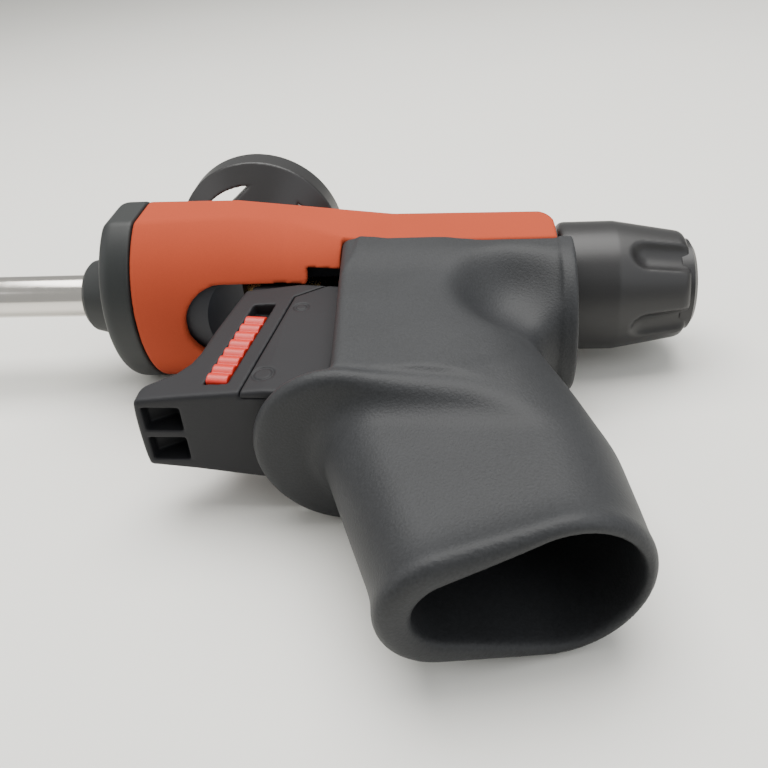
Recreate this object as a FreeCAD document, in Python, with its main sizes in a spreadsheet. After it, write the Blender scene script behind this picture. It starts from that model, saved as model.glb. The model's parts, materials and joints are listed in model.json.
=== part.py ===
import FreeCAD, Part
import math
import os

import Sketcher
from FreeCAD import Rotation, Vector

# Foam dispensing gun, lying on its right side, in millimetres.
# Design axes: X runs from the nozzle to the knob, Y from the grip to the can, Z out of the gun's left side.
# The barrel is on the X axis and the foam can is on the Y axis.
# Every sub-part is drawn in design axes. One common placement then puts the origin below the middle.

SIZES = {
    # common placement
    "origin_x": -44.5, "origin_y": -37.968, "axis_height": 25.4,
    # barrel, nozzle and needle
    "barrel_radius": 6.0, "barrel_bore": 4.0, "barrel_front": -201.0, "barrel_rear": -11.0,
    "nozzle_front": -213.0, "nozzle_lip": 2.8, "nozzle_shoulder": -207.0, "nozzle_radius": 5.2,
    "nozzle_spigot": -196.0, "spigot_bore": 3.0, "spigot_radius": 3.95,
    "orifice_radius": 1.6, "seat_front": -207.5, "seat_rear": -206.0,
    "needle_radius": 2.0, "needle_front": -208.5, "needle_tip_radius": 1.2, "needle_rear": 64.0,
    "needle_cone_front": -207.1, "needle_cone_rear": -206.4,
    # valve block and its packing
    "block_front": -20.0, "block_rear": 10.0, "block_radius": 12.0,
    "chamber_front": -9.0, "chamber_rear": 3.0, "chamber_radius": 4.0, "packing_radius": 5.0,
    "packing_rear": 9.0, "running_gap": 0.05, "clear_gap": 0.35,
    "seal_nut_rear": 12.3, "seal_nut_radius": 5.5,
    "port_radius": 6.0, "port_bottom": 8.0, "boss_radius": 8.8, "boss_top": 15.0,
    "ring_section": 0.95,
    "barrel_nut_front": -27.5, "barrel_nut_radius": 9.0,
    # front collar and nose
    "shell_front": -23.7, "collar_front": -33.0, "collar_bore": 12.2, "collar_step": -29.0,
    "collar_step_bore": 10.0, "collar_bevel": 1.6,
    "nose_front": -43.0, "nose_radius": 7.5, "nose_shoulder": 10.0, "nose_shoulder_x": -41.3,
    "nose_bore": 6.1,
    # orange shell
    "shell_wide": 24.43, "shell_narrow": 19.6, "shell_rear": 88.0, "shell_wall": 2.2,
    "taper_start": 2.0, "taper_end": 45.0, "side_top_front": 10.0, "side_top_rear": 6.5,
    "roof_front": 22.0, "roof_rear": 17.0, "crease_front": -4.8, "crease_rear": -0.5, "roof_ratio": 0.58,
    "under_depth": 19.5,
    "split_height": -10.0, "cutout_half_width": 11.4, "cutout_front": -10.0,
    "notch_front": 24.0, "notch_half_width": 14.8, "notch_top": -7.0, "roof_hole": 9.3,
    # can adapter
    "neck_top": 29.8, "neck_radius": 7.0, "neck_bore": 3.2, "flange_top": 18.0,
    "valve_bore": 4.3, "valve_floor": 18.8,
    "hub_bottom": 22.5, "hub_top": 26.0, "hub_radius": 11.5, "cup_bottom": 34.0,
    "cup_floor": 35.5, "cup_top": 42.0, "cup_radius": 25.4, "cup_bore": 20.3, "window_chord": 15.7,
    "window_radius": 19.7,
    "window_angle": 8.0, "ball_radius": 3.5, "ball_height": 29.5,
    "seat_top": 33.8, "seat_radius": 10.0, "inlet_radius": 2.5,
    "ball_spring_radius": 3.3, "ball_spring_wire": 0.45, "ball_spring_turns": 5.0,
    # inner frame
    "frame_front": -22.0, "cradle_rear": 6.0, "cradle_half_width": 21.0,
    "cradle_top": 14.8, "cheek_inner": 10.3, "cheek_outer": 13.3, "cheek_bottom": -11.0,
    "cheek_top": 9.5, "cheek_rear": 85.0, "pivot_cheek_top": 15.2, "pivot_cheek_rear": 26.0,
    "scoop_radius": 13.0, "scoop_x": 4.0, "scoop_y": -27.0,
    # trigger
    "pivot_x": 17.0, "pivot_y": 13.0, "pivot_boss": 4.0, "pin_radius": 2.0, "pin_half_length": 13.2,
    "arm_inner": 6.2, "arm_outer": 10.0, "push_radius": 3.0, "push_x": 18.0,
    "tip_rib": 2.0, "tip_pocket": 7.2,
    "trigger_half_width": 12.3, "trigger_tip_half_width": 9.3, "trigger_tip_x": -8.2,
    "trigger_taper_end": 22.0, "trigger_rear": 36.0, "trigger_top": -18.2,
    "cover_floor": 10.4, "cover_gap": 0.25,
    "slider_length": 28.0, "slider_width": 5.0, "slider_floor": 8.3, "slider_proud": 12.0,
    "slider_travel": 5.0, "slider_x": 14.2, "slider_y": -32.6, "slider_lean": 7.7, "rib_count": 8.0,
    # needle collar, spring and adjuster
    "collar_face": 21.3, "collar_back": 25.3, "needle_collar_radius": 9.0,
    "seat_face": 60.0, "seat_back": 63.0, "spring_radius": 5.6, "spring_wire": 0.7,
    "spring_turns": 8.0, "stem_front": 68.0, "stem_rear": 110.0, "stem_radius": 4.0,
    "guide_front": 79.0, "guide_rear": 85.0, "guide_radius": 10.2,
    "knob_front": 88.6, "knob_shoulder": 103.5, "knob_rear": 122.0, "knob_radius": 17.2,
    "knob_small": 13.9, "knob_cap_rear": 124.0, "knob_cap_radius": 12.0, "flute_count": 5.0,
    "flute_radius": 5.0, "flute_front": 111.0, "flute_angle": 123.0, "flute_depth": 2.5,
    "knob_hollow": 13.0, "knob_floor": 104.0,
    # grey handle
    "handle_rear": 91.0, "handle_front": 33.0, "trough_bend": -14.0, "handle_wall": 2.4,
    "pocket_half_width": 14.0, "pocket_rear": 54.0,
    "neck_bottom": -66.0, "neck_half_width": 19.4, "neck_corner": 4.0, "neck_back": 68.0,
    "guard_top": -66.5, "guard_thick": 4.5, "guard_x": 39.0, "guard_radius": 20.0,
    "guard_tail_x": 60.0, "guard_tail_radius": 17.0,
    "scallop_radius": 17.0, "scallop_x": 70.0, "scallop_y": -31.0, "scallop_z": 26.0,
    "ear_front": 48.0, "ear_rear": 84.0, "ear_top": 4.0, "ear_inner": 13.5, "ear_outer": 16.6,
    # screws, all driven from the right side
    "screw_radius": 1.6, "screw_head": 3.0, "screw_head_depth": 2.2, "screw_length": 9.0,
    "cross_top": 2.5, "cross_floor": 0.8, "cross_long": 1.6, "cross_short": 0.4,
    "screw_y": -2.0,
}

SCREW_STATIONS = (56.0, 77.0)

# Grip sections from top to bottom: front point, rear point, front and rear half-thickness.
GRIP_SECTIONS = (
    ((36.0, -24.0), (79.0, -24.0), 15.0, 13.0),
    ((34.8, -38.0), (80.5, -37.0), 15.5, 15.0),
    ((34.5, -52.0), (85.0, -49.0), 15.5, 16.5),
    ((33.5, -70.7), (90.0, -63.5), 13.5, 16.8),
    ((40.5, -90.0), (95.2, -79.5), 12.6, 16.0),
    ((48.0, -109.5), (97.6, -97.6), 12.0, 15.6),
    ((50.3, -117.2), (97.6, -105.4), 13.0, 16.4),
)
# Hollow of the grip, open at the mouth.
HOLLOW_SECTIONS = (
    ((41.0, -74.0), (85.0, -66.0), 8.5, 13.2),
    ((49.5, -98.0), (93.5, -87.0), 8.0, 13.2),
    ((56.8, -117.8), (96.2, -107.9), 7.5, 13.6),
)

doc = FreeCAD.newDocument("FoamGun")
sheet = doc.addObject("Spreadsheet::Sheet", "Sizes")


def fill_sheet():
    for row, (alias, number) in enumerate(SIZES.items(), start=1):
        sheet.set("A%d" % row, alias)
        sheet.set("B%d" % row, str(number))
        sheet.setAlias("B%d" % row, alias)
    doc.recompute()


def size(term):
    """The value of a term: a cell's alias, an (alias, allowance) pair, or zero."""
    if isinstance(term, tuple):
        return float(sheet.get(term[0])) + term[1]
    if isinstance(term, str):
        return float(sheet.get(term))
    return float(term)


def expression(term):
    """The same term as an expression on the sheet."""
    if isinstance(term, tuple):
        return "Sizes.%s + %s" % term if term[1] >= 0 else "Sizes.%s - %s" % (term[0], -term[1])
    return "Sizes.%s" % term


def place(thing, label, offset=(0, 0, 0)):
    """Give a sub-part its label and the common placement, plus an offset written in terms."""
    thing.Label = label
    common = ("-Sizes.origin_x", "-Sizes.origin_y", "Sizes.axis_height")
    for letter, base, term in zip("xyz", common, offset):
        rule = base if term == 0 else "%s + %s" % (expression(term), base)
        thing.setExpression("Placement.Base." + letter, rule)
    return thing


def plane(body, role):
    return [face for face in body.Origin.OriginFeatures if face.Role == role][0]


def outline_sketch(body, name, corners):
    """A closed outline in the XY plane, every corner tied to the sheet."""
    sketch = body.newObject("Sketcher::SketchObject", name)
    sketch.AttachmentSupport = [(plane(body, "XY_Plane"), "")]
    sketch.MapMode = "FlatFace"
    points = [Vector(size(a), size(b), 0) for a, b in corners]
    count = len(points)
    for i in range(count):
        sketch.addGeometry(Part.LineSegment(points[i], points[(i + 1) % count]), False)
    for i in range(count):
        sketch.addConstraint(Sketcher.Constraint("Coincident", i, 2, (i + 1) % count, 1))
    for i, corner in enumerate(corners):
        for kind, term, axis in zip(("DistanceX", "DistanceY"), corner, (-2, -1)):
            if term == 0:
                sketch.addConstraint(Sketcher.Constraint("PointOnObject", i, 1, axis))
                continue
            index = sketch.addConstraint(Sketcher.Constraint(kind, -1, 1, i, 1, size(term)))
            sketch.setExpression("Constraints[%d]" % index, expression(term))
    return sketch


def turned(label, corners, axis="X"):
    """A turned piece: (along, radius) corners swept once round the X or the Y axis."""
    body = doc.addObject("PartDesign::Body", label + "_body")
    if axis == "Y":
        corners = [(radius, along) for along, radius in corners]
    sketch = outline_sketch(body, label + "_outline", corners)
    turn = body.newObject("PartDesign::Revolution", label + "_turn")
    turn.Profile = sketch
    turn.ReferenceAxis = (sketch, ["H_Axis" if axis == "X" else "V_Axis"])
    turn.Angle = 360
    return place(body, label)


def solid(label, shape):
    """A sub-part whose shape is made below from the sheet's sizes."""
    feature = doc.addObject("Part::Feature", label + "_shape")
    feature.Shape = shape.Solids[0] if len(shape.Solids) == 1 else shape
    return place(feature, label)


def box(x, y, z):
    """A box from three (low, high) pairs."""
    return Part.makeBox(x[1] - x[0], y[1] - y[0], z[1] - z[0], Vector(x[0], y[0], z[0]))


def rod(radius, start, end):
    """A cylinder between two points."""
    start, end = Vector(*start), Vector(*end)
    return Part.makeCylinder(radius, (end - start).Length, start, end - start)


def prism(points, low, high):
    """An outline in the XY plane, raised from one height to another."""
    corners = [Vector(x, y, low) for x, y in points]
    face = Part.Face(Part.makePolygon(corners + corners[:1]))
    return face.extrude(Vector(0, 0, high - low))


def blend(value, start, end, first, last):
    """A linear step from first to last while value runs from start to end."""
    part = min(1.0, max(0.0, (value - start) / (end - start)))
    return first + (last - first) * part


# ---------------------------------------------------------------- housing sections

def half_width(x):
    return blend(x, size("taper_start"), size("taper_end"), size("shell_wide"), size("shell_narrow"))


def shell_wire(x, wall, over_handle=False):
    """The shell's section: an underside, upright sides, and a sloped shoulder up to a flat roof.

    The underside is a shallow arc in front, which leaves a crease along each side. Over the handle
    the sides run straight down to the trough's bend, flush with the handle."""
    outer = half_width(x)
    side = outer - wall
    shell_ends = (size("shell_front"), size("shell_rear"))
    if over_handle:
        crease = size("trough_bend")
        bottom = crease - side
    else:
        crease_ends = (size("crease_front"), size("crease_rear"))
        crease = blend(x, size("shell_front"), size("handle_front"), *crease_ends)
        bottom = -size("under_depth") + wall
    top = blend(x, *shell_ends, size("side_top_front"), size("side_top_rear")) - 0.4 * wall
    roof = blend(x, *shell_ends, size("roof_front"), size("roof_rear")) - wall
    flat = size("roof_ratio") * outer - 0.6 * wall
    low_left, low_right = Vector(x, crease, -side), Vector(x, crease, side)
    arc = Part.Arc(low_left, Vector(x, bottom, 0), low_right).toShape()
    upper = [low_right, Vector(x, top, side), Vector(x, roof, flat), Vector(x, roof, -flat),
             Vector(x, top, -side), low_left]
    lines = [Part.makeLine(a, b) for a, b in zip(upper, upper[1:])]
    return Part.Wire([arc] + lines)


def shell_solid(wall, overrun=0.0):
    """The solid inside the shell's section: the front stretch, then the stretch over the handle."""
    front, middle, rear = size("shell_front") - overrun, size("handle_front"), size("shell_rear") + overrun
    fore = Part.makeLoft([shell_wire(x, wall) for x in (front, size("taper_start"), middle)], True, True)
    aft = Part.makeLoft([shell_wire(x, wall, True) for x in (middle, size("taper_end"), rear)], True, True)
    return fore.fuse(aft)


def trough_wire(x, wall):
    """The handle's U section below the split line."""
    side = half_width(x) - wall
    top, bend = size("split_height"), size("trough_bend")
    arc = Part.Arc(Vector(x, bend, side), Vector(x, bend - side, 0), Vector(x, bend, -side)).toShape()
    return Part.Wire([Part.makeLine(Vector(x, top, side), Vector(x, bend, side)), arc,
                      Part.makeLine(Vector(x, bend, -side), Vector(x, top, -side)),
                      Part.makeLine(Vector(x, top, -side), Vector(x, top, side))])


def drop_wire(front, rear, front_radius, rear_radius):
    """A teardrop: a small round end at the front, a large one at the back, joined by tangents."""
    front, rear = Vector(front[0], front[1], 0), Vector(rear[0], rear[1], 0)
    along = (rear - front).normalize()
    side = Vector(0, 0, 1)
    first = front + along * front_radius
    last = rear - along * rear_radius
    lean = math.asin((rear_radius - front_radius) / (last - first).Length)
    across, back = math.cos(lean), -math.sin(lean)

    def rim(centre, radius, sign):
        return centre + (along * back + side * (sign * across)) * radius

    left = [rim(first, front_radius, 1), rim(last, rear_radius, 1)]
    right = [rim(first, front_radius, -1), rim(last, rear_radius, -1)]
    return Part.Wire([Part.Arc(right[0], front, left[0]).toShape(),
                      Part.makeLine(left[0], left[1]),
                      Part.Arc(left[1], rear, right[1]).toShape(),
                      Part.makeLine(right[1], right[0])])


def screw_axes():
    return [(x, size("screw_y")) for x in SCREW_STATIONS]


def screw_cut(radius, low, high):
    """Holes or pegs on the screw axes, on the gun's right side."""
    rods = [rod(radius, (x, y, -high), (x, y, -low)) for x, y in screw_axes()]
    return rods[0].fuse(rods[1:])


# ---------------------------------------------------------------- barrel group

def make_barrel():
    turned("barrel_tube", [("barrel_front", "barrel_bore"), ("barrel_front", "barrel_radius"),
                           ("barrel_rear", "barrel_radius"), ("barrel_rear", "barrel_bore")])
    turned("nozzle", [("nozzle_front", "orifice_radius"), ("nozzle_front", "nozzle_lip"),
                      ("nozzle_shoulder", "nozzle_radius"), ("barrel_front", "nozzle_radius"),
                      ("barrel_front", "spigot_radius"), ("nozzle_spigot", "spigot_radius"),
                      ("nozzle_spigot", "spigot_bore"), ("seat_rear", "spigot_bore"),
                      ("seat_front", "orifice_radius")])
    turned("needle_rod", [("needle_front", 0), ("needle_front", "needle_tip_radius"),
                          ("needle_cone_front", "needle_tip_radius"),
                          ("needle_cone_rear", "needle_radius"),
                          ("needle_rear", "needle_radius"), ("needle_rear", 0)])
    turned("barrel_nut", [("barrel_nut_front", "barrel_radius"),
                          ("barrel_nut_front", "barrel_nut_radius"),
                          ("block_front", "barrel_nut_radius"), ("block_front", "barrel_radius")])
    ring = doc.addObject("Part::Torus", "barrel_seal_ring")
    ring.setExpression("Radius1", "Sizes.packing_radius")
    ring.setExpression("Radius2", "Sizes.ring_section")
    ring.Placement.Rotation = Rotation(Vector(0, 1, 0), 90)
    place(ring, "barrel_seal", (("barrel_rear", 1.0), 0, 0))


def make_valve_block():
    front, rear = size("block_front"), size("block_rear")
    block = rod(size("block_radius"), (front, 0, 0), (rear, 0, 0))
    block = block.fuse(rod(size("boss_radius"), (0, 0, 0), (0, size("boss_top"), 0)))
    cuts = [
        rod(size("barrel_radius"), (front - 1, 0, 0), (size("chamber_front"), 0, 0)),
        rod(size("chamber_radius"), (front, 0, 0), (size("chamber_rear") + 1, 0, 0)),
        rod(size("packing_radius"), (size("chamber_rear"), 0, 0), (rear + 1, 0, 0)),
        rod(size("port_radius"), (0, size("port_bottom"), 0), (0, size("boss_top") + 1, 0)),
        rod(size("neck_bore"), (0, 0, 0), (0, size("port_bottom") + 1, 0)),
    ]
    solid("valve_block", block.cut(cuts).removeSplitter())
    turned("needle_seal", [("chamber_rear", ("needle_radius", 0.05)), ("chamber_rear", "packing_radius"),
                           ("packing_rear", "packing_radius"), ("packing_rear", ("needle_radius", 0.05))])
    turned("seal_nut", [("packing_rear", ("needle_radius", 0.35)),
                        ("packing_rear", ("packing_radius", -0.05)),
                        ("block_rear", ("packing_radius", -0.05)), ("block_rear", "seal_nut_radius"),
                        ("seal_nut_rear", "seal_nut_radius"),
                        ("seal_nut_rear", ("needle_radius", 0.35))])


def make_front():
    """The collar that closes the shell, and the nose ring round the barrel."""
    face, bevel = size("collar_front"), size("collar_bevel")
    collar = Part.makeLoft([shell_wire(face, bevel), shell_wire(face + bevel, 0.0),
                            shell_wire(size("shell_front"), 0.0)], True, True)
    cuts = [
        rod(size("collar_bore"), (size("collar_front") - 1, 0, 0), (size("collar_step"), 0, 0)),
        rod(size("collar_step_bore"), (size("collar_step") - 1, 0, 0), (size("shell_front") + 1, 0, 0)),
    ]
    solid("front_collar", collar.cut(cuts))
    turned("nose_ring", [("nose_front", "nose_bore"), ("nose_front", "nose_radius"),
                         ("nose_shoulder_x", "nose_shoulder"), ("collar_front", "collar_bore"),
                         ("collar_step", "collar_bore"), ("collar_step", "nose_bore")])


# ---------------------------------------------------------------- casings

def make_shell():
    rear, wall = size("shell_rear"), size("shell_wall")
    shell = shell_solid(0.0).cut(shell_solid(wall, 0.01))
    half, split, split_x = size("cutout_half_width"), size("split_height"), size("handle_front")
    nose = size("cutout_front") + half
    low = -40.0
    shell = shell.cut([
        box((split_x, rear + 1), (low, split), (-40, 40)),
        box((nose, split_x + 1), (low, split), (-half, half)),
        rod(half, (nose, low, 0), (nose, split, 0)),
        box((size("notch_front"), split_x + 1), (low, size("notch_top")),
            (-size("notch_half_width"), size("notch_half_width"))),
        rod(size("roof_hole"), (0, size("boss_top"), 0), (0, 30, 0)),
    ])
    bosses = screw_cut(4.0, size("ear_outer") + 0.1, size("shell_narrow") - 1.0)
    shell = shell.fuse(bosses)
    seat = size("shell_narrow") - size("screw_head_depth")
    shell = shell.cut([screw_cut(size("screw_radius") + 0.1, 10, 30),
                       screw_cut(size("screw_head") + 0.15, seat, 30)])
    solid("body_shell", shell.removeSplitter())


def make_screws():
    seat = size("shell_narrow") - size("screw_head_depth")
    pegs = []
    for x, y in screw_axes():
        head = rod(size("screw_head"), (x, y, -seat - 1.8), (x, y, -seat))
        shank = rod(size("screw_radius"), (x, y, -seat), (x, y, -seat + size("screw_length")))
        depth = (-seat - size("cross_top"), -seat - size("cross_floor"))
        long, short = size("cross_long"), size("cross_short")
        cross = box((x - long, x + long), (y - short, y + short), depth)
        cross = cross.fuse(box((x - short, x + short), (y - long, y + long), depth))
        pegs.append(head.fuse(shank).cut(cross))
    solid("housing_screws", Part.makeCompound([peg.Solids[0] for peg in pegs]))


def make_handle():
    front, rear, wall = size("handle_front"), size("handle_rear"), size("handle_wall")
    split = size("split_height")
    stations = [front, size("taper_end"), rear]
    trough = Part.makeLoft([trough_wire(x, 0.0) for x in stations], True, True)
    side, foot = half_width(front), size("neck_half_width")
    corner, back = size("neck_corner"), size("neck_back")

    def neck_wire(y, half, lead):
        points = [(lead, -half + corner), (lead, half - corner), (lead + corner, half),
                  (back - 12, half), (back, half - 8), (back, 8 - half), (back - 12, -half),
                  (lead + corner, -half)]
        return Part.makePolygon([Vector(x, y, z) for x, z in points + points[:1]])

    neck = Part.makeLoft([neck_wire(split, half_width(size("taper_end")), front),
                          neck_wire(size("neck_bottom"), foot, front + 4)], True, True)
    grip = Part.makeLoft([drop_wire(*section) for section in GRIP_SECTIONS], True, False)
    top, bottom = size("guard_top"), size("guard_top") - size("guard_thick")
    guard = rod(size("guard_radius"), (size("guard_x"), bottom, 0), (size("guard_x"), top, 0))
    tail = rod(size("guard_tail_radius"), (size("guard_tail_x"), bottom, 0), (size("guard_tail_x"), top, 0))
    bridge = box((size("guard_x"), size("guard_tail_x")), (bottom, top),
                 (-size("guard_tail_radius"), size("guard_tail_radius")))
    body = trough.fuse([neck, grip, guard, tail, bridge])
    for sign in (1, -1):
        centre = Vector(size("scallop_x"), size("scallop_y"), sign * size("scallop_z"))
        body = body.cut(Part.makeSphere(size("scallop_radius"), centre))
    pocket = size("pocket_half_width")
    inner = half_width(rear) - wall
    hollow = Part.makeLoft([drop_wire(*section) for section in HOLLOW_SECTIONS], True, False)
    body = body.cut([
        box((front - 20, size("pocket_rear")), (size("guard_top"), split + 1), (-pocket, pocket)),
        box((front - 1, rear + 1), (size("trough_bend"), split + 1), (-inner, inner)),
        rod(size("knob_radius") + 2 * size("clear_gap"), (size("shell_rear"), 0, 0), (rear + 1, 0, 0)),
        hollow,
    ])
    for sign in (1, -1):
        reach = sorted((sign * size("ear_inner"), sign * size("ear_outer")))
        body = body.fuse(box((size("ear_front"), size("ear_rear")),
                             (size("trough_bend") - 0.5, size("ear_top")), reach))
    body = body.cut(screw_cut(size("screw_radius") + 0.1, 10, 30))
    solid("handle", body.removeSplitter())


def make_inner_frame():
    """The moulded chassis: a cradle round the valve block and two long cheeks."""
    front, rear = size("frame_front"), size("cradle_rear")
    half = size("cradle_half_width")
    room = shell_solid(size("shell_wall") + size("clear_gap"))
    cradle = room.common(box((front, rear), (-size("under_depth"), size("cradle_top")), (-half, half)))
    cradle = cradle.cut([
        rod(size("block_radius") + 0.05, (size("block_front") - 0.05, 0, 0), (rear + 1, 0, 0)),
        rod(size("barrel_nut_radius") + 0.2, (front - 1, 0, 0), (rear, 0, 0)),
        rod(size("boss_radius") + 0.1, (0, 0, 0), (0, 20, 0)),
        rod(size("scoop_radius"), (size("scoop_x"), size("scoop_y"), -30),
            (size("scoop_x"), size("scoop_y"), 30)),
    ])
    frame = cradle
    for sign in (1, -1):
        reach = sorted((sign * size("cheek_inner"), sign * size("cheek_outer")))
        low = size("cheek_bottom")
        frame = frame.fuse([
            box((rear - 1, size("cheek_rear")), (low, size("cheek_top")), reach),
            box((rear - 1, size("pivot_cheek_rear")), (low, size("pivot_cheek_top")), reach),
        ])
    clear = size("block_radius") + 0.05
    frame = frame.cut([
        rod(clear, (rear - 2, 0, 0), (size("block_rear") + 0.5, 0, 0)),
        rod(size("pin_radius"), (size("pivot_x"), size("pivot_y"), -20),
            (size("pivot_x"), size("pivot_y"), 20)),
        screw_cut(size("screw_radius"), 5, 20),
    ])
    solid("inner_frame", frame.removeSplitter())


# ---------------------------------------------------------------- can adapter

def make_adapter():
    turned("adapter_neck", [("port_bottom", "neck_bore"), ("port_bottom", ("port_radius", -0.05)),
                            ("boss_top", ("port_radius", -0.05)), ("boss_top", "boss_radius"),
                            ("flange_top", "boss_radius"), ("flange_top", "neck_radius"),
                            ("neck_top", "neck_radius"), ("neck_top", "valve_bore"),
                            ("valve_floor", "valve_bore"), ("valve_floor", "neck_bore")], "Y")
    turned("ball_seat", [("hub_top", "neck_radius"), ("hub_top", "seat_radius"),
                         ("seat_top", "seat_radius"), ("seat_top", "inlet_radius"),
                         (("seat_top", -1.4), "inlet_radius"), (("neck_top", 0.7), ("valve_bore", 0.1)),
                         (("neck_top", 0.05), ("valve_bore", 0.1)),
                         (("neck_top", 0.05), "neck_radius")], "Y")
    turned("can_gasket", [("seat_top", ("valve_bore", 0)), ("seat_top", ("seat_radius", -0.5)),
                          (("seat_top", 1.6), ("seat_radius", -0.5)),
                          (("seat_top", 1.6), ("valve_bore", 0))], "Y")
    outline = [("hub_bottom", "neck_radius"), ("hub_bottom", "hub_radius"),
               ("cup_bottom", "cup_radius"), ("cup_top", "cup_radius"), ("cup_top", "cup_bore"),
               ("cup_floor", "cup_bore"), ("hub_top", ("seat_radius", 0.3)), ("hub_top", "neck_radius")]
    points = [Vector(size(radius), size(along), 0) for along, radius in outline]
    cup = Part.Face(Part.makePolygon(points + points[:1])).revolve(Vector(), Vector(0, 1, 0), 360)
    bore, chord = size("cup_bore"), size("window_chord")
    disc = rod(size("window_radius"), (0, size("hub_bottom") - 1, 0), (0, size("cup_floor") + 1, 0))
    window = disc.common(box((chord, bore + 1), (0, 60), (-bore, bore)))
    for turn in range(3):
        opening = window.copy()
        opening.rotate(Vector(), Vector(0, 1, 0), -(size("window_angle") + 120 * turn))
        cup = cup.cut(opening)
    solid("can_basket", cup)
    ball = doc.addObject("Part::Sphere", "inlet_ball_sphere")
    ball.setExpression("Radius", "Sizes.ball_radius")
    place(ball, "inlet_ball", (0, "ball_height", 0))
    wire = size("ball_spring_wire")
    length = size("ball_height") - size("ball_radius") - size("valve_floor") - 2 * wire - 0.2
    base = Vector(0, size("valve_floor") + wire + 0.1, 0)
    solid("ball_spring", coil(size("ball_spring_radius"), length, size("ball_spring_turns"), wire,
                              base, Vector(1, 0, 0), -90))


def coil(radius, length, turns, wire, base, turn_axis, turn_angle):
    """A compression spring from a base point, turned from +Z onto its own axis."""
    path = Part.makeHelix(length / turns, length, radius)
    path.rotate(Vector(), turn_axis, turn_angle)
    path.translate(base)
    start = path.Edges[0]
    first = start.valueAt(start.FirstParameter)
    heading = start.tangentAt(start.FirstParameter)
    section = Part.Wire(Part.makeCircle(wire, first, heading))
    return Part.Wire(path.Edges).makePipeShell([section], True, True)


# ---------------------------------------------------------------- trigger

def taper_block(inset=0.0):
    """The trigger's plan: narrow at the tip and wider towards the back."""
    tip, end, rear = size("trigger_tip_x") - 2, size("trigger_taper_end"), size("trigger_rear") + 8
    small, large = size("trigger_tip_half_width") - inset, size("trigger_half_width") - inset
    plan = [(tip, -small), (end, -large), (rear, -large), (rear, large), (end, large), (tip, small)]
    corners = [Vector(x, -80, z) for x, z in plan]
    return Part.Face(Part.makePolygon(corners + corners[:1])).extrude(Vector(0, 70, 0))


def trigger_side():
    """The trigger's side outline, from the back of the finger face round to the top."""
    top, rear, tip = size("trigger_top"), size("trigger_rear"), size("trigger_tip_x")
    return [(8.0, top), (6.8, -24.0), (4.3, -38.0), (3.0, -49.0), (0.3, -53.9), (-3.8, -56.3),
            (tip + 1.4, -58.2), (tip, -60.2), (tip, -63.2), (tip + 1.7, -64.3), (3.0, -64.6),
            (24.9, -65.8), (rear, -63.8), (rear, -20.0), (24.0, top)]


def tip_pocket_side():
    """Side outline of the two pockets in the underside of the tip: their roof follows the finger face."""
    front = size("trigger_tip_x") + 1.2
    return [(front, -70.0), (2.4, -70.0), (2.4, -57.0), (-1.0, -57.8), (front, -61.0)]


def panel_side(gap):
    """The rear side cover's outline, drawn back by a gap along its front edge."""
    rear = size("trigger_rear")
    return [(22.0 + gap, -24.8), (16.4 + gap, -66.5), (rear, -66.5), (rear, -19.0), (30.0 + gap, -19.0)]


def slider_frame(low, high, length, width, start=0.0):
    """A block along the slider's slot: it starts at the slot's upper end and runs down towards the tip."""
    bar = box((-width / 2, width / 2), (-start - length, -start), (low, high))
    bar.rotate(Vector(), Vector(0, 0, 1), -size("slider_lean"))
    bar.translate(Vector(size("slider_x"), size("slider_y"), 0))
    return bar


def make_trigger():
    half, floor = size("trigger_half_width"), size("cover_floor")
    body = prism(trigger_side(), -half, half).common(taper_block())
    cover_region = prism(panel_side(size("cover_gap")), floor + 0.05, half + 1)
    cover = body.common(cover_region)
    body = body.cut(prism(panel_side(0.0), floor, half + 1))
    pivot = (size("pivot_x"), size("pivot_y"))
    arm_side = [(9.0, -20.0), (12.5, -9.0), (12.5, pivot[1]), (pivot[0] + 3, pivot[1]),
                (17.0, 8.0), (17.0, -8.0), (24.0, -20.0)]
    for sign in (1, -1):
        low, high = sorted((sign * size("arm_inner"), sign * size("arm_outer")))
        body = body.fuse([prism(arm_side, low, high),
                          rod(size("pivot_boss"), pivot + (low,), pivot + (high,)),
                          rod(size("push_radius"), (size("push_x"), 0, low), (size("push_x"), 0, high))])
    travel, gap = size("slider_travel"), size("clear_gap")
    slot = slider_frame(size("slider_floor"), half + 1, size("slider_length") + travel + 2 * gap,
                        size("slider_width") + 2 * gap, -travel - gap)
    cuts = [rod(size("pin_radius") + size("running_gap"), pivot + (-half,), pivot + (half,)), slot]
    for sign in (1, -1):
        reach = sorted((sign * size("tip_rib") / 2, sign * size("tip_pocket")))
        cuts.append(prism(tip_pocket_side(), *reach))
    body = body.cut(cuts)
    solid("trigger", body.removeSplitter())
    solid("trigger_cover", cover)
    pin = doc.addObject("Part::Cylinder", "trigger_pin_rod")
    pin.setExpression("Radius", "Sizes.pin_radius")
    pin.setExpression("Height", "2 * Sizes.pin_half_length")
    place(pin, "trigger_pin", ("pivot_x", "pivot_y", 0))
    pin.setExpression("Placement.Base.z", "Sizes.axis_height - Sizes.pin_half_length")


def make_slider():
    """The lock slider: a plate with cross ribs on its face."""
    base = size("slider_floor") + size("clear_gap")
    length, width, proud = size("slider_length"), size("slider_width"), size("slider_proud")
    slider = slider_frame(base, proud - 0.9, length, width)
    count = int(size("rib_count"))
    pitch = length / count
    for index in range(count):
        slider = slider.fuse(slider_frame(proud - 1.0, proud, pitch * 0.62, width, pitch * (index + 0.19)))
    solid("lock_slider", slider.removeSplitter())


# ---------------------------------------------------------------- needle drive and adjuster

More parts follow.
